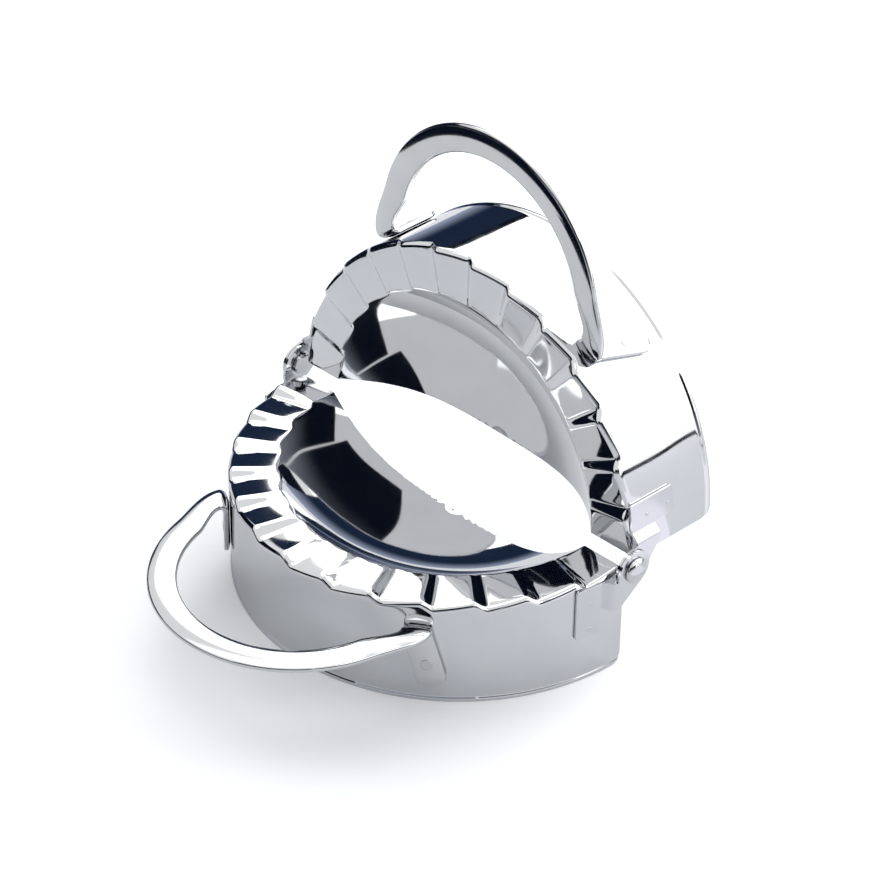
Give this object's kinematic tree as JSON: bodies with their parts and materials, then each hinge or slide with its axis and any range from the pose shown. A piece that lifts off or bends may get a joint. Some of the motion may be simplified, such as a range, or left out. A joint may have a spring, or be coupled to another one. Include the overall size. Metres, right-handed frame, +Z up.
{
  "type": "empanada press",
  "caption": "Hinged stamped steel press that folds and crimps a filled dough round, with a fluted rim, a bowl, a cutting skirt and a looped handle on each half.",
  "frame": {"origin": "centre of the press's own box at rest, on the surface it stands on", "axes": "+X along the hinge axis, +Y from the lower half's handle towards the hinge, +Z up"},
  "size_m": [0.109, 0.1058, 0.1038],
  "materials": {
    "stamped_steel": "polished",
    "strip_steel": "polished",
    "leaf_steel": "polished",
    "rivet_steel": "polished"
  },
  "bodies": {
    "lower_half": {"lower_shell": "stamped_steel", "lower_handle": "strip_steel", "lower_leaf_right": "leaf_steel", "lower_leaf_left": "leaf_steel", "rivet_right": "rivet_steel", "rivet_left": "rivet_steel"},
    "upper_half": {"upper_shell": "stamped_steel", "upper_handle": "strip_steel", "upper_leaf_right": "leaf_steel", "upper_leaf_left": "leaf_steel"}
  },
  "joints": [
    {"name": "hinge", "type": "hinge", "parent": "lower_half", "child": "upper_half", "pos_m": [0, 0.02533, 0.0258], "axis": [-1, 0, 0], "range_deg": [-92, 88]}
  ]
}
